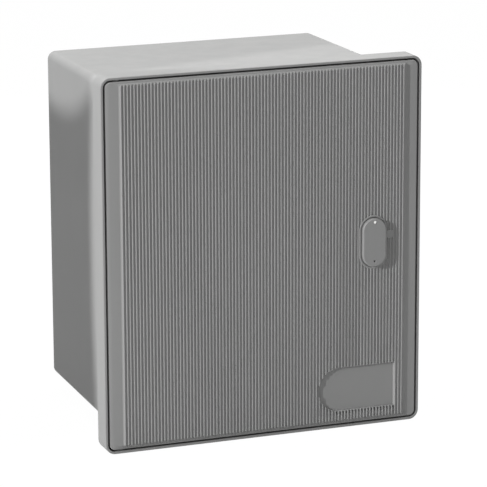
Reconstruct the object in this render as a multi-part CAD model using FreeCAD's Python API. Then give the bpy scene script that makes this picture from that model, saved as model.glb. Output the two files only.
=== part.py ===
import FreeCAD, Part
import math
import os

V = FreeCAD.Vector

# Millimetres. The origin is the centre of the flat back face, which lies against the wall.
# +Z is up, +X is right when the box is looked at from the front, and the door faces -Y.

# case: one moulding, a drafted body behind a wider collar; depths are from the lock pad's face
collarWidth = 400.0
collarHeight = 450.0
collarDepth = 33.0
collarWall = 3.0
collarCorner = 12.0
rimEdge = 0.6
rimSetBack = 3.0
collarBackEdge = 1.2
boxDepth = 290.0
sideInset = 22.0
endInset = 16.5
bodyWall = 3.5
bodyCorner = 10.0
bodyDraft = 2.0
backEdge = 3.5

# door: ribbed panel in the collar; its face stands a little past the rim
doorGap = 2.2
doorSkin = 3.0
doorEdge = 1.0
hingeEdgeWidth = 5.0
hingeEdgeDepth = 1.6
skirtWall = 2.5
skirtDepth = 12.0
sealWall = 2.5
doorMargin = 16.0
ribPitch = 4.1
ribWidth = 2.7
ribCrown = 1.1
ribHeight = 1.4
ribSetBack = 0.2
ribEndMargin = 2.4
fieldRise = 0.8
fieldBorder = 0.9
stiffenerCount = 4
stiffenerHeight = 6.0
stiffenerWall = 2.5
cornerSteps = 3

# hinge: posts of the case at top and bottom, knuckles of the door, pins through both
hingeInset = 15.0
hingePlay = 0.5
postRadius = 4.5
postLength = 10.5
postSides = 8
pinRadius = 2.25
pinFit = 0.06
pinEngagement = 8.5
pinTipPlay = 0.6
knuckleRadius = 5.0
knuckleLength = 18.0
slotPlay = 0.8
washerThick = 0.8
washerPlay = 0.1

# seal on the case's shoulder
sealWidth = 7.5
sealThick = 3.0
sealPlay = 0.2
sealLap = 0.6

# lock and its cover
lockInset = 62.0
lockZ = 3.0
padWidth = 36.4
padHeight = 65.6
padEdge = 0.5
moatWidth = 1.3
moatDepth = 1.2
lugRadius = 5.2
lugX = 21.5
lugZ = 8.0
roundSides = 24
coverSides = 36
smallSides = 12
lockSides = 8
hexSides = 6
housingAcross = 18.0
flangeAcross = 24.0
flangeThick = 1.6
flangePlay = 0.15
housingLength = 34.0
bossAcross = 30.0
bossDepth = 6.0
clipAcross = 26.0
clipThick = 1.5
clipGrip = 1.2
clipFit = 0.05
barrelRadius = 6.5
barrelFit = 0.05
barrelSink = 1.0
driveAcross = 6.4
driveDepth = 8.0
tangAcross = 7.4
tangFit = 0.1
camGap = 0.4
camThick = 3.0
camReach = 27.0
camHub = 8.0
camTail = 11.0
camScrewRadius = 2.4
camScrewLength = 11.0
screwHeadHeight = 2.6
screwHeadRatio = 3.4
coverWidth = 29.8
coverHeight = 59.0
coverThick = 3.8
coverWall = 1.8
coverEdge = 0.9
pocketChamfer = 8.0
coverPlay = 0.6
rivetDrop = 4.2
rivetRadius = 1.3
rivetFit = 0.06
rivetHead = 1.8
rivetHeadHeight = 0.7
rivetLand = 4.6
sealHoleRise = 6.8
sealHoleRadius = 1.2

# keeper on the case's right wall
keeperPadHeight = 44.0
keeperPadDepth = 24.0
keeperPadRise = 4.5
keeperPadOffset = 6.0
keeperSheet = 2.5
keeperHeight = 36.0
keeperReach = 13.0
keeperGap = 1.0
keeperBase = 29.0
keeperScrewRadius = 2.5
keeperScrewLength = 6.0
keeperHolePlay = 0.2

# badge field, bare
badgeWidth = 98.7
badgeHeight = 54.0
badgeRibs = 3
badgeRise = 16.8
badgeDeep = 1.0

# meter board, carried by two moulded rails, hooked at the top and screwed at the bottom
boardMarginX = 65.0
boardMarginZ = 55.0
boardThick = 5.0
boardChamfer = 8.0
boardLift = 8.0
railHeight = 12.0
railWidth = 22.0
railInset = 25.0
hookWidth = 26.0
hookThick = 5.0
hookOver = 7.0
hookPlay = 0.3
boardScrewRise = 18.0
boardScrewRadius = 2.5
boardScrewPlay = 0.3
boardScrewLength = 13.0
insertAcross = 8.0
insertLength = 9.0
meterSpacing = 110.0
meterDrop = 40.0
meterHole = 2.6

# wall fixing and cable entries
fixingInsetX = 45.0
fixingInsetZ = 40.0
fixingRadius = 4.0
entryShare = 0.2
entryBack = 140.0
entryWidth = 70.0
entryDepth = 46.0
entryPlateMargin = 12.0
entryPlateThick = 6.0
glandFit = 0.1
glandLip = 3.0
glandLipThick = 2.0
glandBore = 10.0

# planes and places that several pieces share
front = -boxDepth
rimFront = front + rimSetBack
shoulderFront = front + collarDepth - collarWall
bodyStart = front + collarDepth
bodyWidth = collarWidth - 2.0 * sideInset
bodyHeight = collarHeight - 2.0 * endInset
backWidth = bodyWidth - 2.0 * bodyDraft
backHeight = bodyHeight - 2.0 * bodyDraft
innerBack = -bodyWall
doorWidth = collarWidth - 2.0 * (collarWall + doorGap)
doorHeight = collarHeight - 2.0 * (collarWall + doorGap)
doorCorner = collarCorner - collarWall - doorGap
ribCount = int((doorWidth - 2.0 * (doorMargin + fieldBorder) - ribWidth) / ribPitch) + 1
ribTop = front + ribSetBack
fieldFront = ribTop + ribHeight
doorFront = fieldFront + fieldRise
skinBack = doorFront + doorSkin
skirtBack = front + skirtDepth
sealFront = shoulderFront - sealThick
sealWallBack = sealFront - sealPlay
mouthWidth = bodyWidth - 2.0 * bodyWall
mouthHeight = bodyHeight - 2.0 * bodyWall
mouthCorner = bodyCorner - bodyWall
hingeX = -doorWidth / 2.0 + hingeInset
lockX = collarWidth / 2.0 - lockInset
hingeY = skinBack + postRadius + hingePlay
postTop = collarHeight / 2.0 - collarWall
postEnd = postTop - postLength
knuckleEnd = postEnd - washerThick - washerPlay
fieldWidth = (ribCount - 1) * ribPitch + ribWidth + 2.0 * fieldBorder
fieldHeight = doorHeight - 2.0 * (ribEndMargin + fieldRise)
coverBack = front - coverPlay
coverFront = coverBack - coverThick
rivetZ = lockZ + coverHeight / 2.0 - rivetDrop
camFront = front + housingLength + camGap
camBack = camFront + camThick
boardWidth = collarWidth - 2.0 * boardMarginX
boardHeight = collarHeight - 2.0 * boardMarginZ
railSpacing = boardWidth - 2.0 * railInset
fixingX = collarWidth - 2.0 * fixingInsetX
fixingZ = collarHeight - 2.0 * fixingInsetZ
entryX = entryShare * collarWidth
boardBack = innerBack - railHeight
boardFront = boardBack - boardThick
boardLow = boardLift - boardHeight / 2.0
boardHigh = boardLift + boardHeight / 2.0
overlap = 1.0


def box(x0, x1, y0, y1, z0, z1):
    return Part.makeBox(x1 - x0, y1 - y0, z1 - z0, V(x0, y0, z0))


def rodY(radius, x, z, y0, y1):
    return Part.makeCylinder(radius, y1 - y0, V(x, y0, z), V(0, 1, 0))


def rodZ(radius, x, y, z0, z1):
    return Part.makeCylinder(radius, z1 - z0, V(x, y, z0), V(0, 0, 1))


def roundedWire(width, height, corner, y):
    x = width / 2.0
    z = height / 2.0
    r = corner
    d = r * (1.0 - math.sqrt(0.5))
    edges = []
    corners = [(x, z, -1, -1), (-x, z, 1, -1), (-x, -z, 1, 1), (x, -z, -1, 1)]
    starts = []
    ends = []
    for index, (cx, cz, sx, sz) in enumerate(corners):
        alongX = V(cx + sx * r, y, cz)
        alongZ = V(cx, y, cz + sz * r)
        middle = V(cx + sx * d, y, cz + sz * d)
        first, last = (alongZ, alongX) if index % 2 == 0 else (alongX, alongZ)
        edges.append(Part.Arc(first, middle, last).toShape())
        starts.append(first)
        ends.append(last)
    for index in range(4):
        edges.append(Part.LineSegment(ends[index], starts[(index + 1) % 4]).toShape())
    return Part.Wire(Part.__sortEdges__(edges))


def roundedSlab(width, height, corner, y0, y1):
    return Part.Face(roundedWire(width, height, corner, y0)).extrude(V(0, y1 - y0, 0))


def facetedSlab(width, height, corner, y0, y1):
    points = []
    for sx, sz, start in ((1, 1, 0), (-1, 1, 90), (-1, -1, 180), (1, -1, 270)):
        for step in range(cornerSteps + 1):
            angle = math.radians(start + 90.0 * step / cornerSteps)
            points.append(V(sx * (width / 2.0 - corner) + corner * math.cos(angle), y0,
                            sz * (height / 2.0 - corner) + corner * math.sin(angle)))
    return Part.Face(Part.makePolygon(points + [points[0]])).extrude(V(0, y1 - y0, 0))


def frustum(width0, height0, y0, width1, height1, y1):
    rings = []
    for width, height, y in ((width0, height0, y0), (width1, height1, y1)):
        x = width / 2.0
        z = height / 2.0
        rings.append([V(-x, y, -z), V(x, y, -z), V(x, y, z), V(-x, y, z)])
    near, far = rings
    faces = [near, far]
    for index in range(4):
        after = (index + 1) % 4
        faces.append([near[index], near[after], far[after], far[index]])
    planes = [Part.Face(Part.makePolygon(points + [points[0]])) for points in faces]
    solid = Part.Solid(Part.Shell(planes))
    return solid if solid.Volume > 0 else solid.reversed()


def roundedFrustum(width0, height0, y0, width1, height1, y1, corner):
    block = frustum(width0, height0, y0, width1, height1, y1)
    return block.makeFillet(corner, [e for e in block.Edges if e.BoundBox.YLength > overlap / 2.0])


def polygonPoints(across, sides):
    r = across / 2.0 / math.cos(math.pi / sides)
    angles = [2.0 * math.pi * (index + 0.5) / sides for index in range(sides + 1)]
    return [(r * math.cos(angle), r * math.sin(angle)) for angle in angles]


def prism(across, sides, x, z, y0, y1):
    corners = [V(x + a, y0, z + b) for a, b in polygonPoints(across, sides)]
    return Part.Face(Part.makePolygon(corners)).extrude(V(0, y1 - y0, 0))


def prismZ(across, sides, x, y, z0, z1):
    corners = [V(x + a, y + b, z0) for a, b in polygonPoints(across, sides)]
    return Part.Face(Part.makePolygon(corners)).extrude(V(0, 0, z1 - z0))


def obround(width, height, sides, x, z, y0, y1):
    half = (height - width) / 2.0
    straight = box(x - width / 2.0, x + width / 2.0, y0, y1, z - half, z + half)
    return straight.fuse([prism(width, sides, x, z + side * half, y0, y1) for side in (-1, 1)])


def edgesAtY(shape, y):
    return [e for e in shape.Edges if abs(e.BoundBox.YMin - y) < 1e-4 and abs(e.BoundBox.YMax - y) < 1e-4]


def oneSolid(shape):
    clean = shape.removeSplitter()
    return clean.Solids[0] if len(clean.Solids) == 1 else clean


def bodyHalfAt(y, halfAtStart):
    return halfAtStart - bodyDraft * (y - bodyStart) / -bodyStart


def caseShell():
    collar = roundedSlab(collarWidth, collarHeight, collarCorner, rimFront, bodyStart)
    collar = collar.makeChamfer(rimEdge, edgesAtY(collar, rimFront))
    collar = collar.makeChamfer(collarBackEdge, edgesAtY(collar, bodyStart))
    body = roundedFrustum(bodyWidth, bodyHeight, bodyStart - overlap,
                          backWidth, backHeight, 0.0, bodyCorner)
    body = body.makeChamfer(backEdge, edgesAtY(body, 0.0))
    well = roundedSlab(collarWidth - 2.0 * collarWall, collarHeight - 2.0 * collarWall,
                       collarCorner - collarWall, rimFront - overlap, shoulderFront)
    cavity = roundedFrustum(mouthWidth, mouthHeight, shoulderFront - overlap,
                            backWidth - 2.0 * bodyWall, backHeight - 2.0 * bodyWall, innerBack, mouthCorner)
    return collar.fuse(body).cut([well, cavity])


def hingePosts():
    posts = []
    for side in (-1, 1):
        low, high = sorted((side * postEnd, side * (postTop + collarWall / 2.0)))
        posts.append(prismZ(2.0 * postRadius, postSides, hingeX, hingeY, low, high))
    return posts


def hingePostHoles():
    holes = []
    for side in (-1, 1):
        low, high = sorted((side * (postEnd - overlap), side * (postEnd + pinEngagement + pinTipPlay)))
        holes.append(rodZ(pinRadius + pinFit, hingeX, hingeY, low, high))
    return holes


def boardRails():
    rails = []
    for side in (-1, 1):
        x = side * railSpacing / 2.0
        rails.append(box(x - railWidth / 2.0, x + railWidth / 2.0, boardBack, innerBack + overlap,
                         boardLow, boardHigh + hookPlay + hookThick))
        lipFront = boardFront - hookPlay - hookThick
        rails.append(box(x - hookWidth / 2.0, x + hookWidth / 2.0, lipFront, innerBack + overlap,
                         boardHigh + hookPlay, boardHigh + hookPlay + hookThick))
        rails.append(box(x - hookWidth / 2.0, x + hookWidth / 2.0, lipFront, boardFront - hookPlay,
                         boardHigh - hookOver, boardHigh + hookPlay + hookThick))
    return rails


def boardScrewPoints():
    return [(side * railSpacing / 2.0, boardLow + boardScrewRise) for side in (-1, 1)]


def fixingPoints():
    return [(sx * fixingX / 2.0, sz * fixingZ / 2.0) for sx in (-1, 1) for sz in (-1, 1)]


def keeperPadStart():
    return bodyStart + keeperPadOffset


def keeperPadFace():
    return bodyHalfAt(keeperPadStart() + keeperPadDepth, mouthWidth / 2.0) - keeperPadRise


def keeperScrewY():
    return keeperPadStart() + keeperPadDepth / 2.0


def entryBottom():
    middle = bodyHalfAt(-entryBack, (bodyHeight - bodyWall) / 2.0)
    return -middle - entryPlateThick / 2.0


def entryTop():
    return entryBottom() + entryPlateThick


def entryBlock(x, growth, z0, z1):
    halfX = entryWidth / 2.0 + growth
    halfY = entryDepth / 2.0 + growth
    return box(x - halfX, x + halfX, -entryBack - halfY, -entryBack + halfY, z0, z1)


def makeCase():
    solids = hingePosts() + boardRails()
    wallHalf = bodyHalfAt(keeperPadStart() + keeperPadDepth, mouthWidth / 2.0)
    solids.append(box(keeperPadFace(), wallHalf + bodyWall / 2.0, keeperPadStart(),
                      keeperPadStart() + keeperPadDepth,
                      lockZ - keeperPadHeight / 2.0, lockZ + keeperPadHeight / 2.0))
    plateX = entryX + entryWidth / 2.0 + entryPlateMargin
    plateY = entryDepth / 2.0 + entryPlateMargin
    solids.append(box(-plateX, plateX, -entryBack - plateY, -entryBack + plateY, entryBottom(), entryTop()))
    case = caseShell().fuse(solids)
    holes = hingePostHoles()
    for x, z in boardScrewPoints():
        holes.append(prism(insertAcross, hexSides, x, z, boardBack - overlap, boardBack + insertLength))
    for x, z in fixingPoints():
        holes.append(rodY(fixingRadius, x, z, innerBack - overlap, overlap))
    holes.append(Part.makeCylinder(keeperScrewRadius, keeperPadRise + overlap,
                                   V(keeperPadFace() - overlap, keeperScrewY(), lockZ), V(1, 0, 0)))
    for x in (-entryX, entryX):
        holes.append(entryBlock(x, 0.0, entryBottom() - overlap, entryTop() + overlap))
    return oneSolid(case.cut(holes))


def doorPanel():
    panel = roundedSlab(doorWidth, doorHeight, doorCorner, doorFront, skirtBack)
    panel = panel.makeChamfer(doorEdge, edgesAtY(panel, doorFront))
    side = -doorWidth / 2.0
    wedge = [V(side + hingeEdgeWidth, doorFront, 0), V(side, doorFront + hingeEdgeDepth, 0),
             V(side - overlap, doorFront + hingeEdgeDepth, 0), V(side - overlap, doorFront - overlap, 0),
             V(side + hingeEdgeWidth, doorFront - overlap, 0), V(side + hingeEdgeWidth, doorFront, 0)]
    slope = Part.Face(Part.makePolygon(wedge)).extrude(V(0, 0, doorHeight))
    slope.translate(V(0, 0, -doorHeight / 2.0))
    inner = facetedSlab(doorWidth - 2.0 * skirtWall, doorHeight - 2.0 * skirtWall,
                        doorCorner - skirtWall, skinBack, skirtBack + overlap)
    return panel.cut([inner, slope])


def ribField():
    rise = fieldRise + overlap
    return frustum(fieldWidth + 2.0 * rise, fieldHeight + 2.0 * rise, doorFront + overlap,
                   fieldWidth, fieldHeight, fieldFront)


def oneRib():
    z = fieldHeight / 2.0
    crown = ribCrown / 2.0
    half = ribWidth / 2.0
    base = fieldFront + overlap / 2.0
    outline = [V(-half, base, -z), V(-half, fieldFront, -z), V(-crown, ribTop, -z),
               V(crown, ribTop, -z), V(half, fieldFront, -z), V(half, base, -z), V(-half, base, -z)]
    rib = Part.Face(Part.makePolygon(outline)).extrude(V(0, 0, fieldHeight))
    cuts = []
    for side in (-1, 1):
        end = side * z
        outside = end + side * overlap
        slope = [V(-ribWidth, fieldFront, end), V(-ribWidth, ribTop, end - side * ribHeight),
                 V(-ribWidth, ribTop - overlap, end - side * ribHeight),
                 V(-ribWidth, ribTop - overlap, outside), V(-ribWidth, fieldFront, outside),
                 V(-ribWidth, fieldFront, end)]
        cuts.append(Part.Face(Part.makePolygon(slope)).extrude(V(2.0 * ribWidth, 0, 0)))
    return rib.cut(cuts)


def ribPlace(index):
    return (index - (ribCount - 1) / 2.0) * ribPitch


def padShape(y0, y1):
    lug = prism(2.0 * lugRadius, smallSides, lockX + lugX, lockZ + lugZ, y0, y1)
    return obround(padWidth, padHeight, roundSides, lockX, lockZ, y0, y1).fuse(lug).removeSplitter()


def badgeShape(y0, y1):
    right = ribPlace(ribCount - badgeRibs) - ribWidth / 2.0
    left = right - badgeWidth + badgeHeight / 2.0
    z = -doorHeight / 2.0 + badgeRise + badgeHeight / 2.0
    square = box(left, right, y0, y1, z - badgeHeight / 2.0, z + badgeHeight / 2.0)
    return square.fuse(prism(badgeHeight, roundSides, left, z, y0, y1)).removeSplitter()


def doorRibs():
    rib = oneRib()
    blocks = [shape(ribTop - overlap, fieldFront + overlap) for shape in (padShape, badgeShape)]
    ribs = []
    for index in range(ribCount):
        copy = rib.copy()
        copy.translate(V(ribPlace(index), 0, 0))
        reach = copy.BoundBox
        near = [b for b in blocks if reach.XMax > b.BoundBox.XMin and reach.XMin < b.BoundBox.XMax]
        ribs.append(copy.cut(near) if near else copy)
    return ribs


def sealingWall():
    outerReach = sealLap + sealWall
    outer = facetedSlab(mouthWidth + 2.0 * outerReach, mouthHeight + 2.0 * outerReach,
                        mouthCorner + outerReach, skinBack - overlap, sealWallBack)
    inner = facetedSlab(mouthWidth + 2.0 * sealLap, mouthHeight + 2.0 * sealLap,
                        mouthCorner + sealLap, skinBack - 2.0 * overlap, sealWallBack + overlap)
    return outer.cut(inner)


def stiffeners():
    half = mouthWidth / 2.0 + sealWall / 2.0
    step = doorHeight / (stiffenerCount + 1)
    bars = []
    for index in range(stiffenerCount):
        z = -doorHeight / 2.0 + step * (index + 1)
        bars.append(box(-half, half, skinBack - overlap, skinBack + stiffenerHeight,
                        z - stiffenerWall / 2.0, z + stiffenerWall / 2.0))
    return bars


def knuckles():
    parts = []
    for side in (-1, 1):
        low, high = sorted((side * (knuckleEnd - knuckleLength), side * knuckleEnd))
        parts.append(prismZ(2.0 * knuckleRadius, smallSides, hingeX, hingeY, low, high))
        parts.append(box(hingeX - knuckleRadius, hingeX + knuckleRadius,
                         skinBack - overlap, hingeY, low, high))
    return parts


def coverMoat():
    growth = 2.0 * moatWidth
    outer = obround(coverWidth + growth, coverHeight + growth, roundSides, lockX, lockZ,
                    front - overlap, front + moatDepth)
    inner = obround(coverWidth, coverHeight, roundSides, lockX, lockZ,
                    front - 2.0 * overlap, front + moatDepth + overlap)
    return outer.cut(inner).removeSplitter()


def doorHoles():
    holes = []
    slotRadius = postRadius + slotPlay
    for side in (-1, 1):
        low, high = sorted((side * (knuckleEnd - knuckleLength - overlap), side * (knuckleEnd + overlap)))
        holes.append(rodZ(pinRadius, hingeX, hingeY, low, high))
        edge = doorHeight / 2.0
        low, high = sorted((side * (edge - skirtWall - overlap), side * (edge + overlap)))
        holes.append(rodZ(slotRadius, hingeX, hingeY, low, high))
        holes.append(box(hingeX - slotRadius, hingeX + slotRadius, hingeY, skirtBack + overlap, low, high))
    holes.append(prism(housingAcross + 2.0 * flangePlay, lockSides, lockX, lockZ,
                       front - overlap, skinBack + bossDepth + overlap))
    holes.append(prism(flangeAcross + 2.0 * flangePlay, lockSides, lockX, lockZ,
                       front - overlap, front + flangeThick))
    holes.append(rodY(rivetRadius, lockX, rivetZ, front - overlap, skinBack + overlap))
    holes.append(badgeShape(ribTop - overlap, fieldFront + badgeDeep))
    holes.append(coverMoat())
    return holes


def makeDoor():
    pad = padShape(front, skinBack - overlap)
    pad = pad.makeChamfer(padEdge, edgesAtY(pad, front))
    boss = prism(bossAcross, lockSides, lockX, lockZ, skinBack - overlap, skinBack + bossDepth)
    solids = [ribField(), pad, boss, sealingWall()] + stiffeners() + knuckles() + doorRibs()
    return oneSolid(doorPanel().fuse(solids).cut(doorHoles()))


def makeSeal():
    outer = facetedSlab(mouthWidth + 2.0 * sealWidth, mouthHeight + 2.0 * sealWidth,
                        mouthCorner + sealWidth, sealFront, shoulderFront)
    inner = facetedSlab(mouthWidth, mouthHeight, mouthCorner, sealFront - overlap, shoulderFront + overlap)
    return oneSolid(outer.cut(inner))


def hingePin(side):
    low, high = sorted((side * (knuckleEnd - knuckleLength), side * (postEnd + pinEngagement)))
    return rodZ(pinRadius, hingeX, hingeY, low, high)


def hingeWashers():
    washers = []
    for side in (-1, 1):
        low, high = sorted((side * knuckleEnd, side * (knuckleEnd + washerThick)))
        washer = prismZ(2.0 * postRadius, smallSides, hingeX, hingeY, low, high)
        hole = prismZ(2.0 * (pinRadius + pinFit), smallSides, hingeX, hingeY,
                      low - overlap, high + overlap)
        washers.append(washer.cut(hole))
    return Part.makeCompound(washers)


def clipSlot(growth):
    half = housingAcross / 2.0 - clipGrip
    start = skinBack + bossDepth
    slots = []
    for side in (-1, 1):
        low, high = sorted((lockX + side * (half + growth), lockX + side * clipAcross / 2.0))
        slots.append(box(low, high, start, start + clipThick,
                         lockZ - clipAcross / 2.0, lockZ + clipAcross / 2.0))
    return slots


def makeHousing():
    flange = prism(flangeAcross, lockSides, lockX, lockZ, front, front + flangeThick)
    shank = prism(housingAcross, lockSides, lockX, lockZ, front, front + housingLength)
    bore = rodY(barrelRadius + barrelFit, lockX, lockZ, front - overlap, front + housingLength + overlap)
    return oneSolid(flange.fuse(shank).cut([bore] + clipSlot(0.0)))


def makeClip():
    start = skinBack + bossDepth
    bridge = box(lockX - clipAcross / 2.0, lockX + clipAcross / 2.0, start, start + clipThick,
                 lockZ + housingAcross / 2.0 + clipFit, lockZ + clipAcross / 2.0)
    return oneSolid(bridge.fuse(clipSlot(clipFit)))


def squareBar(across, x, z, y0, y1):
    half = across / 2.0
    return box(x - half, x + half, y0, y1, z - half, z + half)


def makeBarrel():
    start = front + barrelSink
    barrel = rodY(barrelRadius, lockX, lockZ, start, front + housingLength + camGap / 2.0)
    tang = squareBar(tangAcross, lockX, lockZ, start + driveDepth, camBack - tangFit)
    drive = squareBar(driveAcross, lockX, lockZ, start - overlap, start + driveDepth)
    hole = rodY(camScrewRadius, lockX, lockZ, camBack - camScrewLength, camBack + overlap)
    return oneSolid(barrel.fuse(tang).cut([drive, hole]))


def makeCam():
    hub = rodY(camHub, lockX, lockZ, camFront, camBack)
    arm = box(lockX - camHub, lockX + camHub, camFront, camBack, lockZ - camReach, lockZ)
    reach = rodY(camReach, lockX, lockZ, camFront - overlap, camBack + overlap)
    tail = box(lockX - camHub / 2.0, lockX + camHub / 2.0, camFront, camBack, lockZ, lockZ + camTail)
    hole = squareBar(tangAcross + 2.0 * tangFit, lockX, lockZ, camFront - overlap, camBack + overlap)
    return oneSolid(hub.fuse([arm.common(reach), tail]).cut(hole))


def screwAlongY(radius, length, x, z, seat, direction):
    low, high = sorted((seat - direction * screwHeadHeight, seat))
    head = prism(radius * screwHeadRatio, hexSides, x, z, low, high)
    shank = Part.makeCylinder(radius, length, V(x, seat, z), V(0, direction, 0))
    return oneSolid(head.fuse(shank))


def makeCamScrew():
    return screwAlongY(camScrewRadius, camScrewLength, lockX, lockZ, camBack, -1)


def makeCover():
    cover = obround(coverWidth, coverHeight, coverSides, lockX, lockZ, coverFront, coverBack)
    cover = cover.removeSplitter()
    cover = cover.makeChamfer(coverEdge, edgesAtY(cover, coverFront))
    half = coverWidth / 2.0 - coverWall
    pocket = box(lockX - half, lockX + half, coverFront + coverWall, coverBack + overlap,
                 lockZ - coverHeight / 2.0 + coverWall, rivetZ - rivetLand)
    pocket = pocket.makeChamfer(pocketChamfer, [e for e in pocket.Edges if e.BoundBox.YLength > overlap])
    holes = [pocket, rodY(rivetRadius + rivetFit, lockX, rivetZ, coverFront - overlap, coverBack + overlap),
             prism(2.0 * sealHoleRadius, smallSides, lockX, lockZ - coverHeight / 2.0 + sealHoleRise,
                   coverFront - overlap, coverBack + overlap)]
    return oneSolid(cover.cut(holes))


def makeRivet():
    head = prism(2.0 * rivetHead, smallSides, lockX, rivetZ,
                 coverFront - rivetHeadHeight, coverFront - rivetFit)
    shank = rodY(rivetRadius, lockX, rivetZ, coverFront - rivetHeadHeight, skinBack)
    return oneSolid(head.fuse(shank))


def makeKeeper():
    face = keeperPadFace()
    legBack = camFront - keeperGap
    legFront = legBack - keeperSheet
    low = lockZ - keeperHeight / 2.0
    high = lockZ + keeperHeight / 2.0
    base = box(face - keeperSheet, face, legFront, legFront + keeperBase, low, high)
    leg = box(face - keeperReach, face, legFront, legBack, low, high)
    hole = Part.makeCylinder(keeperScrewRadius + keeperHolePlay, keeperSheet + 2.0 * overlap,
                             V(face - keeperSheet - overlap, keeperScrewY(), lockZ), V(1, 0, 0))
    return oneSolid(base.fuse(leg).cut(hole))


def keeperScrew():
    seat = V(keeperPadFace() - keeperSheet, keeperScrewY(), lockZ)
    across = keeperScrewRadius * screwHeadRatio
    head = prism(across, hexSides, 0.0, 0.0, -screwHeadHeight, 0.0)
    head.rotate(V(0, 0, 0), V(0, 0, 1), -90.0)
    head.translate(seat)
    shank = Part.makeCylinder(keeperScrewRadius, keeperScrewLength, seat, V(1, 0, 0))
    return oneSolid(head.fuse(shank))


def makeBoard():
    board = box(-boardWidth / 2.0, boardWidth / 2.0, boardFront, boardBack, boardLow, boardHigh)
    upright = [e for e in board.Edges if e.BoundBox.YLength > boardThick / 2.0]
    board = board.makeChamfer(boardChamfer, upright)
    y0 = boardFront - overlap
    y1 = boardBack + overlap
    across = 2.0 * (boardScrewRadius + boardScrewPlay)
    holes = [prism(across, smallSides, x, z, y0, y1) for x, z in boardScrewPoints()]
    for side in (-1, 1):
        holes.append(rodY(meterHole, side * meterSpacing / 2.0, boardLift - meterDrop, y0, y1))
    return oneSolid(board.cut(holes))


def boardInserts():
    inserts = []
    for x, z in boardScrewPoints():
        insert = prism(insertAcross, hexSides, x, z, boardBack, boardBack + insertLength)
        thread = rodY(boardScrewRadius, x, z, boardBack - overlap, boardBack + insertLength + overlap)
        inserts.append(insert.cut(thread))
    return Part.makeCompound(inserts)


def boardScrews():
    return Part.makeCompound([screwAlongY(boardScrewRadius, boardScrewLength, x, z, boardFront, 1)
                              for x, z in boardScrewPoints()])


def makeGland(x):
    low = entryBottom() - glandLipThick
    high = entryTop() + glandLipThick
    plug = entryBlock(x, -glandFit, low, high)
    lips = [entryBlock(x, glandLip, low, entryBottom()), entryBlock(x, glandLip, entryTop(), high)]
    return oneSolid(plug.fuse(lips).cut(rodZ(glandBore, x, -entryBack, low - overlap, high + overlap)))


def export(name, shape):
    shape.exportStep("parts/" + name + ".step")
    solids = shape.Solids
    volume = sum(s.Volume for s in solids)
    state = "valid" if shape.isValid() else "NOT VALID"
    print(name, len(solids), "solid(s)", round(volume / 1000.0, 2), "cm3", state)


os.makedirs("parts", exist_ok=True)
export("case", makeCase())
export("door", makeDoor())
export("door_seal", makeSeal())
export("upper_hinge_pin", hingePin(1))
export("lower_hinge_pin", hingePin(-1))
export("hinge_washers", hingeWashers())
export("lock_housing", makeHousing())
export("lock_clip", makeClip())
export("lock_barrel", makeBarrel())
export("latch_cam", makeCam())
export("cam_screw", makeCamScrew())
export("keyhole_cover", makeCover())
export("cover_rivet", makeRivet())
export("lock_keeper", makeKeeper())
export("keeper_screw", keeperScrew())
export("meter_board", makeBoard())
export("board_inserts", boardInserts())
export("board_screws", boardScrews())
export("left_cable_gland", makeGland(-entryX))
export("right_cable_gland", makeGland(entryX))
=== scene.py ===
import math
import bmesh
import bpy
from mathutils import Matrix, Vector


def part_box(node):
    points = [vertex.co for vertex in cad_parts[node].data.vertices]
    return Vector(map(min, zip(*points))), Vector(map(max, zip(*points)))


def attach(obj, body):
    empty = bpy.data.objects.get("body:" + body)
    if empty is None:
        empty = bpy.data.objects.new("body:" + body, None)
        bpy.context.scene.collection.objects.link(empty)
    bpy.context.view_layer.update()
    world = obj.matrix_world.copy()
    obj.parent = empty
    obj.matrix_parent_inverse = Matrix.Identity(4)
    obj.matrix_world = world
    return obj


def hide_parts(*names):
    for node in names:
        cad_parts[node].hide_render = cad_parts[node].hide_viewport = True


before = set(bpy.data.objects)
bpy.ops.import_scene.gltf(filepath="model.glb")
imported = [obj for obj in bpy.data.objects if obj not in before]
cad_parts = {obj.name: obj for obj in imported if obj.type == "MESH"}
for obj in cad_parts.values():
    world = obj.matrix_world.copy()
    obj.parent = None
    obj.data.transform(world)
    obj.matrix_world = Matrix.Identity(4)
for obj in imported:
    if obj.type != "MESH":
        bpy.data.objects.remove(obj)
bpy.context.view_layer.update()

scene = bpy.context.scene
mm = 0.001

# camera, as the photograph was taken: long lens, from the left and a little above
view = {
    "place": (-1.2251, -3.4759, 0.8740),
    "tiltDown": 14.141,
    "turn": -20.653,
    "roll": 0.215,
    "lens": 221.12,
    "sensor": 36.0,
    "farthest": 60.0,
}


def addCamera():
    data = bpy.data.cameras.new("photoCamera")
    data.lens = view["lens"]
    data.sensor_width = view["sensor"]
    data.sensor_fit = "HORIZONTAL"
    data.clip_end = view["farthest"]
    camera = bpy.data.objects.new("photoCamera", data)
    camera.location = view["place"]
    angles = (90.0 - view["tiltDown"], view["roll"], view["turn"])
    camera.rotation_euler = [math.radians(a) for a in angles]
    scene.collection.objects.link(camera)
    scene.camera = camera


addCamera()
scene.view_settings.view_transform = "Standard"
print("stage: camera")


# shader groups that several materials share
grain = {
    # scales of the noise per metre: a higher one is finer
    "specks": 620.0,
    "glossPatches": 16.0,
    "peel": 520.0,
    "waves": 22.0,
    "flow": (1.0, 1.0, 0.45),  # the clouds and waves are drawn out up and down
    "dustPatches": 38.0,
    "drawnLines": 2600.0,
    "plating": 90.0,
    "bloom": 45.0,
    "rubberGrain": 1500.0,
    # where the masks begin and how strong they are
    "dustTilt": 0.25,  # dust lies where the normal points up by more than this
    "dustGaps": 0.3,
    "dustDulls": 0.35,
    "wearGain": 6.0,
    "wearContrast": 1.6,
    "wearGaps": -0.3,
    "wearSamples": 6,
    "bloomDulls": 0.2,
}


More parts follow.
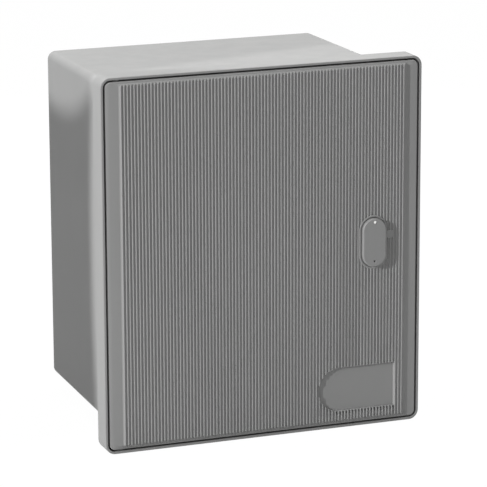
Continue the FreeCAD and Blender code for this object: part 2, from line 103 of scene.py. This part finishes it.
def newGroup(name, inputs, outputs):
    group = bpy.data.node_groups.new(name, "ShaderNodeTree")
    for label, kind, value in inputs:
        socket = group.interface.new_socket(name=label, in_out="INPUT", socket_type="NodeSocket" + kind)
        socket.default_value = value
    for label, kind in outputs:
        group.interface.new_socket(name=label, in_out="OUTPUT", socket_type="NodeSocket" + kind)
    return group, group.nodes.new("NodeGroupInput"), group.nodes.new("NodeGroupOutput")


def addNode(tree, kind, **settings):
    node = tree.nodes.new("ShaderNode" + kind)
    for key, value in settings.items():
        setattr(node, key, value)
    return node


def feed(tree, source, target):
    if isinstance(source, bpy.types.NodeSocket):
        tree.links.new(source, target)
    else:
        target.default_value = source


def calc(tree, operation, first, second=0.0, third=0.0, clamp=False):
    node = addNode(tree, "Math", operation=operation, use_clamp=clamp)
    for index, value in enumerate((first, second, third)):
        feed(tree, value, node.inputs[index])
    return node.outputs[0]


def noise(tree, place, scale, detail=3.0, rough=0.5):
    node = addNode(tree, "TexNoise")
    feed(tree, place, node.inputs["Vector"])
    feed(tree, scale, node.inputs["Scale"])
    node.inputs["Detail"].default_value = detail
    node.inputs["Roughness"].default_value = rough
    return node.outputs["Fac"]


def centred(tree, value):
    # noise runs from 0 to 1, and this brings its middle to 0
    return calc(tree, "SUBTRACT", value, 0.5)


# the Mix node's sockets go by number, because its floats and colours share their names
mixSockets = {"amount": 0, "firstFloat": 2, "secondFloat": 3, "firstColour": 6, "secondColour": 7,
              "mixedFloat": 0, "mixedColour": 2}


def blendColours(tree, amount, first, second):
    node = addNode(tree, "Mix", data_type="RGBA", blend_type="MIX")
    feed(tree, amount, node.inputs[mixSockets["amount"]])
    feed(tree, first, node.inputs[mixSockets["firstColour"]])
    feed(tree, second, node.inputs[mixSockets["secondColour"]])
    return node.outputs[mixSockets["mixedColour"]]


def tone(tree, colour, factor):
    node = addNode(tree, "VectorMath", operation="SCALE")
    feed(tree, colour, node.inputs[0])
    feed(tree, factor, node.inputs["Scale"])
    return node.outputs[0]


def buildMouldedSkin():
    # pressed polyester: cloudy colour, fine specks, patchy gloss, orange peel and slow waves
    group, source, result = newGroup(
        "mouldedSkin",
        [("Colour", "Color", (0.3, 0.3, 0.3, 1.0)), ("Clouding", "Float", 0.06), ("Cloud Size", "Float", 7.0),
         ("Speckle", "Float", 0.04), ("Roughness", "Float", 0.5), ("Gloss Spread", "Float", 0.1),
         ("Peel", "Float", 0.25), ("Waviness", "Float", 0.15)],
        [("Colour", "Color"), ("Roughness", "Float"), ("Height", "Float")])
    place = addNode(group, "TexCoord").outputs["Object"]
    stretched = addNode(group, "Mapping")
    stretched.inputs["Scale"].default_value = grain["flow"]
    feed(group, place, stretched.inputs["Vector"])
    clouds = noise(group, stretched.outputs[0], source.outputs["Cloud Size"], detail=4.0, rough=0.55)
    specks = noise(group, place, grain["specks"], detail=2.0, rough=0.6)
    # the clouds swing by a half either way, so their share is doubled below
    shift = calc(group, "MULTIPLY", centred(group, clouds), source.outputs["Clouding"])
    fleck = calc(group, "MULTIPLY", centred(group, specks), source.outputs["Speckle"])
    factor = calc(group, "ADD", calc(group, "MULTIPLY_ADD", shift, 2.0, 1.0), fleck)
    feed(group, tone(group, source.outputs["Colour"], factor), result.inputs["Colour"])
    patches = noise(group, place, grain["glossPatches"])
    spread = calc(group, "MULTIPLY", centred(group, patches), source.outputs["Gloss Spread"])
    feed(group, calc(group, "ADD", source.outputs["Roughness"], spread), result.inputs["Roughness"])
    peel = calc(group, "MULTIPLY", noise(group, place, grain["peel"], detail=2.0), source.outputs["Peel"])
    swell = noise(group, stretched.outputs[0], grain["waves"], detail=1.0, rough=0.4)
    waves = calc(group, "MULTIPLY", swell, source.outputs["Waviness"])
    feed(group, calc(group, "ADD", peel, waves), result.inputs["Height"])
    return group


def buildSettledDust():
    # pale dust on whatever looks up, in patches
    group, source, result = newGroup(
        "settledDust",
        [("Colour", "Color", (0.3, 0.3, 0.3, 1.0)), ("Dust Colour", "Color", (0.62, 0.61, 0.59, 1.0)),
         ("Amount", "Float", 0.2), ("Roughness", "Float", 0.5)],
        [("Colour", "Color"), ("Roughness", "Float")])
    upward = addNode(group, "SeparateXYZ")
    feed(group, addNode(group, "NewGeometry").outputs["Normal"], upward.inputs[0])
    lying = calc(group, "SUBTRACT", upward.outputs["Z"], grain["dustTilt"], clamp=True)
    place = addNode(group, "TexCoord").outputs["Object"]
    patches = noise(group, place, grain["dustPatches"], detail=6.0, rough=0.62)
    broken = calc(group, "SUBTRACT", patches, grain["dustGaps"], clamp=True)
    layer = calc(group, "MULTIPLY", broken, source.outputs["Amount"])
    mask = calc(group, "MULTIPLY", lying, layer, clamp=True)
    colour = blendColours(group, mask, source.outputs["Colour"], source.outputs["Dust Colour"])
    feed(group, colour, result.inputs["Colour"])
    duller = calc(group, "MULTIPLY_ADD", mask, grain["dustDulls"], source.outputs["Roughness"])
    feed(group, duller, result.inputs["Roughness"])
    return group


def buildEdgeWear():
    # rubbed edges, found where the rounded normal departs from the true one
    group, source, result = newGroup(
        "edgeWear",
        [("Colour", "Color", (0.3, 0.3, 0.3, 1.0)), ("Worn Colour", "Color", (0.5, 0.5, 0.5, 1.0)),
         ("Amount", "Float", 0.3), ("Radius", "Float", 0.0008), ("Patch Size", "Float", 60.0)],
        [("Colour", "Color")])
    rounded = addNode(group, "Bevel", samples=grain["wearSamples"])
    feed(group, source.outputs["Radius"], rounded.inputs["Radius"])
    facing = addNode(group, "VectorMath", operation="DOT_PRODUCT")
    feed(group, rounded.outputs["Normal"], facing.inputs[0])
    feed(group, addNode(group, "NewGeometry").outputs["Normal"], facing.inputs[1])
    apart = calc(group, "SUBTRACT", 1.0, facing.outputs["Value"])
    bend = calc(group, "MULTIPLY", apart, grain["wearGain"], clamp=True)
    place = addNode(group, "TexCoord").outputs["Object"]
    patches = noise(group, place, source.outputs["Patch Size"], detail=4.0, rough=0.6)
    broken = calc(group, "MULTIPLY_ADD", patches, grain["wearContrast"], grain["wearGaps"], clamp=True)
    rubbed = calc(group, "MULTIPLY", bend, broken)
    mask = calc(group, "MULTIPLY", rubbed, source.outputs["Amount"], clamp=True)
    colour = blendColours(group, mask, source.outputs["Colour"], source.outputs["Worn Colour"])
    feed(group, colour, result.inputs["Colour"])
    return group


def buildRolledMetal():
    # fine drawn lines and a cloudy plating
    group, source, result = newGroup(
        "rolledMetal",
        [("Colour", "Color", (0.6, 0.6, 0.6, 1.0)), ("Line Direction", "Vector", (1.0, 1.0, 0.03)),
         ("Clouding", "Float", 0.12), ("Roughness", "Float", 0.3), ("Gloss Spread", "Float", 0.15)],
        [("Colour", "Color"), ("Roughness", "Float"), ("Height", "Float")])
    place = addNode(group, "TexCoord").outputs["Object"]
    drawn = addNode(group, "VectorMath", operation="MULTIPLY")
    feed(group, place, drawn.inputs[0])
    feed(group, source.outputs["Line Direction"], drawn.inputs[1])
    lines = noise(group, drawn.outputs[0], grain["drawnLines"], detail=2.0, rough=0.6)
    clouds = noise(group, place, grain["plating"], detail=4.0, rough=0.6)
    shift = centred(group, clouds)
    factor = calc(group, "MULTIPLY_ADD", shift, source.outputs["Clouding"], 1.0)
    feed(group, tone(group, source.outputs["Colour"], factor), result.inputs["Colour"])
    spread = calc(group, "MULTIPLY", centred(group, lines), source.outputs["Gloss Spread"])
    feed(group, calc(group, "ADD", source.outputs["Roughness"], spread), result.inputs["Roughness"])
    feed(group, lines, result.inputs["Height"])
    return group


def buildRubberSkin():
    # cured rubber: bloom in patches and a dense fine grain
    group, source, result = newGroup(
        "rubberSkin",
        [("Colour", "Color", (0.03, 0.03, 0.03, 1.0)), ("Bloom Colour", "Color", (0.12, 0.12, 0.12, 1.0)),
         ("Bloom", "Float", 0.4), ("Roughness", "Float", 0.7)],
        [("Colour", "Color"), ("Roughness", "Float"), ("Height", "Float")])
    place = addNode(group, "TexCoord").outputs["Object"]
    clouds = noise(group, place, grain["bloom"], detail=5.0, rough=0.6)
    patches = calc(group, "MULTIPLY", clouds, source.outputs["Bloom"], clamp=True)
    colour = blendColours(group, patches, source.outputs["Colour"], source.outputs["Bloom Colour"])
    feed(group, colour, result.inputs["Colour"])
    duller = calc(group, "MULTIPLY_ADD", patches, grain["bloomDulls"], source.outputs["Roughness"])
    feed(group, duller, result.inputs["Roughness"])
    feed(group, noise(group, place, grain["rubberGrain"], rough=0.6), result.inputs["Height"])
    return group


mouldedSkin = buildMouldedSkin()
settledDust = buildSettledDust()
edgeWear = buildEdgeWear()
rolledMetal = buildRolledMetal()
rubberSkin = buildRubberSkin()
print("stage: shader groups")


def startMaterial(name):
    material = bpy.data.materials.new(name)
    material.use_nodes = True
    return material, material.node_tree, material.node_tree.nodes["Principled BSDF"]


def placeGroup(tree, group, **values):
    node = addNode(tree, "Group", node_tree=group)
    for label, value in values.items():
        feed(tree, value, node.inputs[spaced(label)])
    return node


def spaced(label):
    words = "".join(" " + c if c.isupper() else c for c in label).strip()
    return words[0].upper() + words[1:]


def worn(colour, lift):
    # the colour of a rubbed edge, lifted by a factor
    return [min(1.0, c * lift) for c in colour[:3]] + [1.0]


def addBump(tree, shader, height, strength, depth):
    bump = addNode(tree, "Bump")
    bump.inputs["Strength"].default_value = strength
    bump.inputs["Distance"].default_value = depth
    feed(tree, height, bump.inputs["Height"])
    feed(tree, bump.outputs[0], shader.inputs["Normal"])


# the polyester and plastic mouldings
mouldings = {
    "caseGrey": {"colour": (0.340, 0.341, 0.339, 1.0), "roughness": 0.60, "dust": 0.5, "worn": 0.35,
                 "relief": 0.35},
    "doorGrey": {"colour": (0.340, 0.341, 0.339, 1.0), "roughness": 0.56, "dust": 0.3, "worn": 0.35,
                 "relief": 0.04},
    "coverGrey": {"colour": (0.335, 0.336, 0.335, 1.0), "roughness": 0.44, "dust": 0.2, "worn": 0.3,
                  "relief": 0.2},
    "boardGrey": {"colour": (0.225, 0.232, 0.236, 1.0), "roughness": 0.60, "dust": 0.2, "worn": 0.2,
                  "relief": 0.5},
    "washerWhite": {"colour": (0.640, 0.640, 0.600, 1.0), "roughness": 0.45, "dust": 0.1, "worn": 0.1,
                    "relief": 0.2},
}
mouldedLook = {"specular": 0.3, "wornLift": 1.5, "reliefDepth": 0.00018}


def mouldedMaterial(name):
    look = mouldings[name]
    material, tree, shader = startMaterial(name)
    skin = placeGroup(tree, mouldedSkin, colour=look["colour"], roughness=look["roughness"])
    rubbed = placeGroup(tree, edgeWear, colour=skin.outputs["Colour"], amount=look["worn"],
                        wornColour=worn(look["colour"], mouldedLook["wornLift"]))
    dusty = placeGroup(tree, settledDust, colour=rubbed.outputs["Colour"], amount=look["dust"],
                       roughness=skin.outputs["Roughness"])
    feed(tree, dusty.outputs["Colour"], shader.inputs["Base Color"])
    feed(tree, dusty.outputs["Roughness"], shader.inputs["Roughness"])
    shader.inputs["Specular IOR Level"].default_value = mouldedLook["specular"]
    addBump(tree, shader, skin.outputs["Height"], look["relief"], mouldedLook["reliefDepth"])
    return material


# steel, zinc and brass
metals = {
    "pinSteel": {"colour": (0.50, 0.50, 0.49, 1.0), "roughness": 0.28, "lines": (1.0, 1.0, 0.03)},
    "lockZinc": {"colour": (0.33, 0.335, 0.345, 1.0), "roughness": 0.42, "lines": (1.0, 1.0, 1.0)},
    "springSteel": {"colour": (0.26, 0.265, 0.28, 1.0), "roughness": 0.33, "lines": (1.0, 1.0, 0.03)},
    "platedSteel": {"colour": (0.52, 0.52, 0.49, 1.0), "roughness": 0.34, "lines": (0.05, 1.0, 1.0)},
    "screwSteel": {"colour": (0.53, 0.52, 0.47, 1.0), "roughness": 0.36, "lines": (1.0, 0.05, 1.0)},
    "rivetSteel": {"colour": (0.78, 0.78, 0.76, 1.0), "roughness": 0.24, "lines": (1.0, 1.0, 1.0)},
    "insertBrass": {"colour": (0.60, 0.43, 0.17, 1.0), "roughness": 0.32, "lines": (1.0, 0.05, 1.0)},
}
metalLook = {"worn": 0.4, "wornRadius": 0.0003, "wornLift": 1.3, "relief": 0.15, "reliefDepth": 0.00003}


def metalMaterial(name):
    look = metals[name]
    material, tree, shader = startMaterial(name)
    skin = placeGroup(tree, rolledMetal, colour=look["colour"], roughness=look["roughness"],
                      lineDirection=look["lines"])
    rubbed = placeGroup(tree, edgeWear, colour=skin.outputs["Colour"], amount=metalLook["worn"],
                        radius=metalLook["wornRadius"],
                        wornColour=worn(look["colour"], metalLook["wornLift"]))
    feed(tree, rubbed.outputs["Colour"], shader.inputs["Base Color"])
    feed(tree, skin.outputs["Roughness"], shader.inputs["Roughness"])
    shader.inputs["Metallic"].default_value = 1.0
    addBump(tree, shader, skin.outputs["Height"], metalLook["relief"], metalLook["reliefDepth"])
    return material


# the seal and the cable glands
rubbers = {
    "sealRubber": {"colour": (0.022, 0.022, 0.024, 1.0), "roughness": 0.62, "bloom": 0.35},
    "glandRubber": {"colour": (0.030, 0.030, 0.031, 1.0), "roughness": 0.70, "bloom": 0.55},
}
rubberLook = {"dust": 0.25, "relief": 0.3, "reliefDepth": 0.00006}


def rubberMaterial(name):
    look = rubbers[name]
    material, tree, shader = startMaterial(name)
    skin = placeGroup(tree, rubberSkin, colour=look["colour"], bloom=look["bloom"],
                      roughness=look["roughness"])
    dusty = placeGroup(tree, settledDust, colour=skin.outputs["Colour"], amount=rubberLook["dust"],
                       roughness=skin.outputs["Roughness"])
    feed(tree, dusty.outputs["Colour"], shader.inputs["Base Color"])
    feed(tree, dusty.outputs["Roughness"], shader.inputs["Roughness"])
    addBump(tree, shader, skin.outputs["Height"], rubberLook["relief"], rubberLook["reliefDepth"])
    return material


finishes = {}
for name in mouldings:
    finishes[name] = mouldedMaterial(name)
for name in metals:
    finishes[name] = metalMaterial(name)
for name in rubbers:
    finishes[name] = rubberMaterial(name)
print("stage: materials")


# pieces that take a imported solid's shape and soften its edges
meshLook = {
    "mergeWithin": 0.002,  # mm
    "flatWithin": 0.4,  # degrees
    "roundFrom": 28.0,  # edges sharper than this are rounded
    "sharpFrom": 32.0,  # and those that stay sharper than this are shaded as sharp
}


def mergePoints(bm):
    bmesh.ops.remove_doubles(bm, verts=bm.verts, dist=meshLook["mergeWithin"] * mm)


def mergedCopy(node):
    bm = bmesh.new()
    bm.from_mesh(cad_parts[node].data)
    mergePoints(bm)
    bmesh.ops.dissolve_limit(bm, angle_limit=math.radians(meshLook["flatWithin"]),
                             use_dissolve_boundaries=False, verts=bm.verts, edges=bm.edges)
    return bm


def sharpEdges(bm, angle, wanted=None):
    found = [e for e in bm.edges if e.is_manifold and e.calc_face_angle() > math.radians(angle)]
    return [e for e in found if wanted is None or wanted(e)]


def roundEdges(bm, edges, width, steps):
    bmesh.ops.bevel(bm, geom=edges, offset=width, offset_type="OFFSET", segments=steps, profile=0.5,
                    affect="EDGES", clamp_overlap=False, material=-1)


def finishPiece(bm, name, body, finish, node, sharp=meshLook["sharpFrom"]):
    mesh = bpy.data.meshes.new(name)
    bm.to_mesh(mesh)
    bm.free()
    mesh.materials.clear()
    mesh.materials.append(finishes[finish])
    mesh.shade_smooth()
    mesh.set_sharp_from_angle(angle=math.radians(sharp))
    piece = bpy.data.objects.new(name, mesh)
    scene.collection.objects.link(piece)
    even = piece.modifiers.new("evenShading", "WEIGHTED_NORMAL")
    even.keep_sharp = True
    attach(piece, body)
    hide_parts(node)


softened = [
    # node, new piece, body, slot, finish, edge width in mm, steps
    ("case", "mouldedCase", "case_body", "moulded_grey", "caseGrey", 0.35, 2),
    ("keyhole_cover", "lockCover", "cover_body", "cover_grey", "coverGrey", 0.35, 3),
    ("meter_board", "meterBoard", "case_body", "board_grey", "boardGrey", 0.5, 2),
    ("door_seal", "doorSeal", "case_body", "seal_rubber", "sealRubber", 0.9, 3),
    ("lock_keeper", "keeperAngle", "case_body", "plated_steel", "platedSteel", 0.3, 2),
    ("keeper_screw", "keeperScrew", "case_body", "screw_steel", "screwSteel", 0.25, 2),
    ("board_screws", "boardScrews", "case_body", "screw_steel", "screwSteel", 0.25, 2),
    ("board_inserts", "boardInserts", "case_body", "insert_brass", "insertBrass", 0.15, 1),
    ("left_cable_gland", "leftCableGland", "case_body", "gland_rubber", "glandRubber", 0.6, 3),
    ("right_cable_gland", "rightCableGland", "case_body", "gland_rubber", "glandRubber", 0.6, 3),
    ("lock_housing", "lockHousing", "door_body", "lock_zinc", "lockZinc", 0.25, 2),
    ("lock_clip", "lockClip", "door_body", "spring_steel", "springSteel", 0.2, 2),
    ("upper_hinge_pin", "upperHingePin", "door_body", "pin_steel", "pinSteel", 0.3, 2),
    ("lower_hinge_pin", "lowerHingePin", "door_body", "pin_steel", "pinSteel", 0.3, 2),
    ("hinge_washers", "hingeWashers", "door_body", "washer_plastic", "washerWhite", 0.1, 1),
    ("lock_barrel", "lockBarrel", "lock_body", "lock_zinc", "lockZinc", 0.25, 2),
    ("latch_cam", "latchCam", "lock_body", "plated_steel", "platedSteel", 0.3, 2),
    ("cam_screw", "camScrew", "lock_body", "screw_steel", "screwSteel", 0.25, 2),
]


def softenAll():
    for node, name, body, slot, finish, width, steps in softened:
        bm = mergedCopy(node)
        roundEdges(bm, sharpEdges(bm, meshLook["roundFrom"]), width * mm, steps)
        finishPiece(bm, name, body, finish, node)


softenAll()
print("stage: softened pieces")


# the ribbed door, its ribs and edges rounded, with a fine bead round the bare badge field
doorLook = {
    # widths of the rounded edges in mm, and the angles in degrees from which they are rounded
    "ribRound": 0.34,
    "ribFrom": 20.0,
    "firstRound": 0.7,  # the left edge of the first rib, beside the door's left margin
    "firstEdge": -176.8,  # the only rib edge left of this place
    "endRound": 1.1,
    "endFrom": 60.0,
    "ribEnd": 210.0,  # the ribs end beyond this height, above and below the middle
    "endCut": 214.0,
    "cutWithin": 0.0001,  # a point this near the cut counts as on it
    "edgeRound": 0.4,
    "edgeFrom": 28.0,
    "padRound": 0.15,
    "padSteps": 2,
    "steps": 3,
    "sharpFrom": 38.0,
    # depths in mm: the ribs' crowns behind the pad, and what tells one level from the next
    "crownDepth": 0.2,
    "level": 0.02,
    "padAhead": 0.1,
    "fieldBehind": 1.6,
    # outlines in mm: outward from the field's edge, and forward from the back plane
    "beadOutline": [(0.0, 287.2), (0.0, 288.7), (0.16, 288.95), (0.5, 289.05), (0.84, 288.95),
                    (1.0, 288.7), (1.0, 287.2)],
    "barOutline": [(-0.9, 287.2), (-0.85, 287.45), (0.7, 289.6), (0.9, 289.7), (1.1, 289.6), (1.2, 287.2)],
    "badgeRight": 166.75,
    "badgeTurn": 95.05,  # where the field's straight part ends and its half circle starts
    "badgeMiddle": -176.0,
    "badgeRadius": 27.0,
    "badgeSteps": 36,
}


def beadProfile(bm, outline, place):
    # closed outline of a bead; place turns (outward, forward) into a point
    points = [bm.verts.new(place(u * mm, -v * mm)) for u, v in outline]
    return [bm.edges.new((first, second)) for first, second in zip(points, points[1:] + points[:1])]


def pushEdges(bm, edges, shift):
    moved = bmesh.ops.extrude_edge_only(bm, edges=edges)["geom"]
    bmesh.ops.translate(bm, verts=[g for g in moved if isinstance(g, bmesh.types.BMVert)], vec=shift)
    return [g for g in moved if isinstance(g, bmesh.types.BMEdge)]


def addBead(bm):
    right, turn, middle, radius = (doorLook[key] * mm for key in
                                   ("badgeRight", "badgeTurn", "badgeMiddle", "badgeRadius"))
    bead = bmesh.new()
    start = beadProfile(bead, doorLook["beadOutline"], lambda u, y: (right, y, middle + radius + u))
    edges = pushEdges(bead, start, (turn - right, 0.0, 0.0))
    swept = bmesh.ops.spin(bead, geom=edges, cent=(turn, 0.0, middle), axis=(0.0, -1.0, 0.0),
                           angle=math.pi, steps=doorLook["badgeSteps"], use_merge=False)["geom_last"]
    edges = [g for g in swept if isinstance(g, bmesh.types.BMEdge)]
    pushEdges(bead, edges, (right - turn, 0.0, 0.0))
    upright = beadProfile(bead, doorLook["barOutline"], lambda u, y: (right + u, y, middle - radius))
    pushEdges(bead, upright, (0.0, 0.0, 2.0 * radius))
    mergePoints(bead)
    bmesh.ops.holes_fill(bead, edges=[e for e in bead.edges if e.is_boundary], sides=0)
    bmesh.ops.recalc_face_normals(bead, faces=bead.faces)
    mesh = bpy.data.meshes.new("badgeBead")
    bead.to_mesh(mesh)
    bead.free()
    bm.from_mesh(mesh)
    bpy.data.meshes.remove(mesh)


def makeDoor():
    bm = mergedCopy("door")
    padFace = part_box("door")[0].y
    ribTop = padFace + doorLook["crownDepth"] * mm

    def onCrown(edge):
        return all(abs(v.co.y - ribTop) < doorLook["level"] * mm for v in edge.verts)

    def alongRib(edge):
        return onCrown(edge) and abs(edge.verts[0].co.x - edge.verts[1].co.x) < doorLook["level"] / 2.0 * mm

    def atRibEnd(edge):
        return onCrown(edge) and all(abs(v.co.z) > doorLook["ribEnd"] * mm for v in edge.verts)

    def besideMargin(edge):
        return alongRib(edge) and edge.verts[0].co.x < doorLook["firstEdge"] * mm

    def onPad(edge):
        return edge.is_convex and all(v.co.y < ribTop - doorLook["padAhead"] * mm for v in edge.verts)

    def behindField(edge):
        return edge.is_convex and all(v.co.y > ribTop + doorLook["fieldBehind"] * mm for v in edge.verts)

    steps = doorLook["steps"]
    ends = [e for e in sharpEdges(bm, doorLook["endFrom"], atRibEnd) if not alongRib(e)]
    roundEdges(bm, ends, doorLook["endRound"] * mm, steps)
    roundEdges(bm, sharpEdges(bm, doorLook["ribFrom"], besideMargin), doorLook["firstRound"] * mm, steps)
    crowns = [e for e in sharpEdges(bm, doorLook["ribFrom"], alongRib) if not besideMargin(e)]
    roundEdges(bm, crowns, doorLook["ribRound"] * mm, steps)
    pad = sharpEdges(bm, doorLook["edgeFrom"], onPad)
    roundEdges(bm, pad, doorLook["padRound"] * mm, doorLook["padSteps"])
    roundEdges(bm, sharpEdges(bm, doorLook["edgeFrom"], behindField), doorLook["edgeRound"] * mm, steps)
    for level in (-doorLook["endCut"], doorLook["endCut"]):
        # a cut near the ribs' ends keeps the rounded ends out of the long faces' shading
        whole = bm.verts[:] + bm.edges[:] + bm.faces[:]
        bmesh.ops.bisect_plane(bm, geom=whole, dist=doorLook["cutWithin"] * mm,
                               plane_co=(0.0, 0.0, level * mm), plane_no=(0.0, 0.0, 1.0))
    addBead(bm)
    finishPiece(bm, "ribbedDoor", "door_body", "doorGrey", "door", doorLook["sharpFrom"])


makeDoor()
print("stage: door")


# the cover's rivet, a turned domed head on its shank
rivetLook = {
    "headRadius": 1.65,
    "headHeight": 0.64,
    "shankRadius": 1.3,
    "dome": [(0.45, 0.05), (0.8, 0.2), (1.0, 0.45)],  # share of the head's radius, mm behind its top
    "turns": 32,
    "sharpFrom": 40.0,
}


def makeRivet():
    low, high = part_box("cover_rivet")
    centre = (low + high) / 2.0
    head = rivetLook["headRadius"] * mm
    shank = rivetLook["shankRadius"] * mm
    seat = low.y + rivetLook["headHeight"] * mm
    dome = [(share * head, low.y + depth * mm) for share, depth in rivetLook["dome"]]
    profile = [(0.0, low.y), *dome, (head, seat), (shank, seat), (shank, high.y), (0.0, high.y)]
    bm = bmesh.new()
    points = [bm.verts.new((centre.x + r, y, centre.z)) for r, y in profile]
    for first, second in zip(points, points[1:]):
        bm.edges.new((first, second))
    bmesh.ops.spin(bm, geom=bm.verts[:] + bm.edges[:], cent=(centre.x, 0.0, centre.z), axis=(0.0, 1.0, 0.0),
                   angle=2.0 * math.pi, steps=rivetLook["turns"], use_merge=True)
    mergePoints(bm)
    bmesh.ops.recalc_face_normals(bm, faces=bm.faces)
    finishPiece(bm, "coverRivet", "door_body", "rivetSteel", "cover_rivet",
                rivetLook["sharpFrom"])


makeRivet()
print("stage: rivet")


# studio: pale floor, large soft lamps above and behind, and two shaded lamps from the left:
# one whose beam ends just behind the collar, one that grazes the upper back of the wall
studio = {
    "floorLevel": -0.2252,
    "floorSize": 40.0,
    "floorColour": (0.64, 0.64, 0.64, 1.0),
    "floorRoughness": 0.9,
    "floorSpecular": 0.1,
    "floorGlow": 1.02,
    "floorShare": 0.97,  # of the glow where the floor is seen; the rest shows the shadow
    "fill": 0.14,  # strength of the world on the object; where it is seen it is 1
    "softLamps": [
        # name, place, aim, width, height, power
        ("topLamp", (0.15, 0.2, 2.2), (0.0, -0.15, 0.0), 3.2, 2.6, 60.0),
        ("backLamp", (0.5, 1.75, -0.02), (0.0, 0.0, 0.0), 1.6, 0.36, 14.0),
    ],
    "shadedLamps": [
        # name, place, the line on the object that the beam touches, which side is lit,
        # angle, blend, radius, power
        ("leftLamp", (-4.1, -1.42, 1.4), (-0.178, -0.164, -0.2), (-0.178, -0.164, 0.2), (0, -1, 0),
         40.0, 0.02, 0.015, 635.0),
        ("patchLamp", (-2.4, 0.3, 1.2), (-0.178, 0.0, 0.124), (-0.178, -0.18, 0.159), (0, 0, 1),
         12.0, 0.085, 0.015, 165.0),
    ],
}


def placeLamp(name, data, place, aim):
    lamp = bpy.data.objects.new(name, data)
    lamp.location = place
    lamp.rotation_euler = (Vector(aim) - Vector(place)).to_track_quat("-Z", "Y").to_euler()
    scene.collection.objects.link(lamp)


def addSoftLamps():
    for name, place, aim, width, height, power in studio["softLamps"]:
        data = bpy.data.lights.new(name, "AREA")
        data.shape = "RECTANGLE"
        data.size = width
        data.size_y = height
        data.energy = power
        placeLamp(name, data, place, aim)


def addShadedLamps():
    for name, place, lineStart, lineEnd, litSide, angle, blend, radius, power in studio["shadedLamps"]:
        data = bpy.data.lights.new(name, "SPOT")
        data.spot_size = math.radians(angle)
        data.spot_blend = blend
        data.shadow_soft_size = radius
        data.energy = power
        first = Vector(lineStart) - Vector(place)
        second = Vector(lineEnd) - Vector(place)
        across = first.cross(second).normalized()
        if across.dot(Vector(litSide)) < 0.0:
            across.negate()
        middle = (first + second).normalized()
        half = math.radians(angle / 2.0)
        placeLamp(name, data, place, Vector(place) + middle * math.cos(half) + across * math.sin(half))


def seenDirectly(tree):
    path = addNode(tree, "LightPath")
    seen = calc(tree, "ADD", path.outputs["Is Camera Ray"], path.outputs["Is Glossy Ray"])
    return calc(tree, "ADD", seen, path.outputs["Is Transmission Ray"], clamp=True)


def addWorld():
    world = bpy.data.worlds.new("studioWorld")
    scene.world = world
    world.use_nodes = True
    tree = world.node_tree
    background = tree.nodes["Background"]
    background.inputs["Color"].default_value = (1.0, 1.0, 1.0, 1.0)
    strength = addNode(tree, "Mix", data_type="FLOAT")
    feed(tree, seenDirectly(tree), strength.inputs[mixSockets["amount"]])
    strength.inputs[mixSockets["firstFloat"]].default_value = studio["fill"]
    strength.inputs[mixSockets["secondFloat"]].default_value = 1.0
    feed(tree, strength.outputs[mixSockets["mixedFloat"]], background.inputs["Strength"])


def addFloor():
    bm = bmesh.new()
    bmesh.ops.create_grid(bm, x_segments=1, y_segments=1, size=studio["floorSize"] / 2.0)
    bmesh.ops.translate(bm, verts=bm.verts, vec=(0.0, 0.0, studio["floorLevel"]))
    mesh = bpy.data.meshes.new("paleFloor")
    bm.to_mesh(mesh)
    bm.free()
    floor = bpy.data.objects.new("paleFloor", mesh)
    scene.collection.objects.link(floor)
    material, tree, shader = startMaterial("paleFloor")
    shader.inputs["Base Color"].default_value = studio["floorColour"]
    shader.inputs["Roughness"].default_value = studio["floorRoughness"]
    shader.inputs["Specular IOR Level"].default_value = studio["floorSpecular"]
    glow = addNode(tree, "Emission")
    glow.inputs["Strength"].default_value = studio["floorGlow"]
    mixer = addNode(tree, "MixShader")
    feed(tree, calc(tree, "MULTIPLY", seenDirectly(tree), studio["floorShare"]), mixer.inputs[0])
    feed(tree, shader.outputs[0], mixer.inputs[1])
    feed(tree, glow.outputs[0], mixer.inputs[2])
    feed(tree, mixer.outputs[0], tree.nodes["Material Output"].inputs["Surface"])
    mesh.materials.append(material)


addSoftLamps()
addShadedLamps()
addWorld()
addFloor()
print("stage: studio")

bpy.context.view_layer.update()
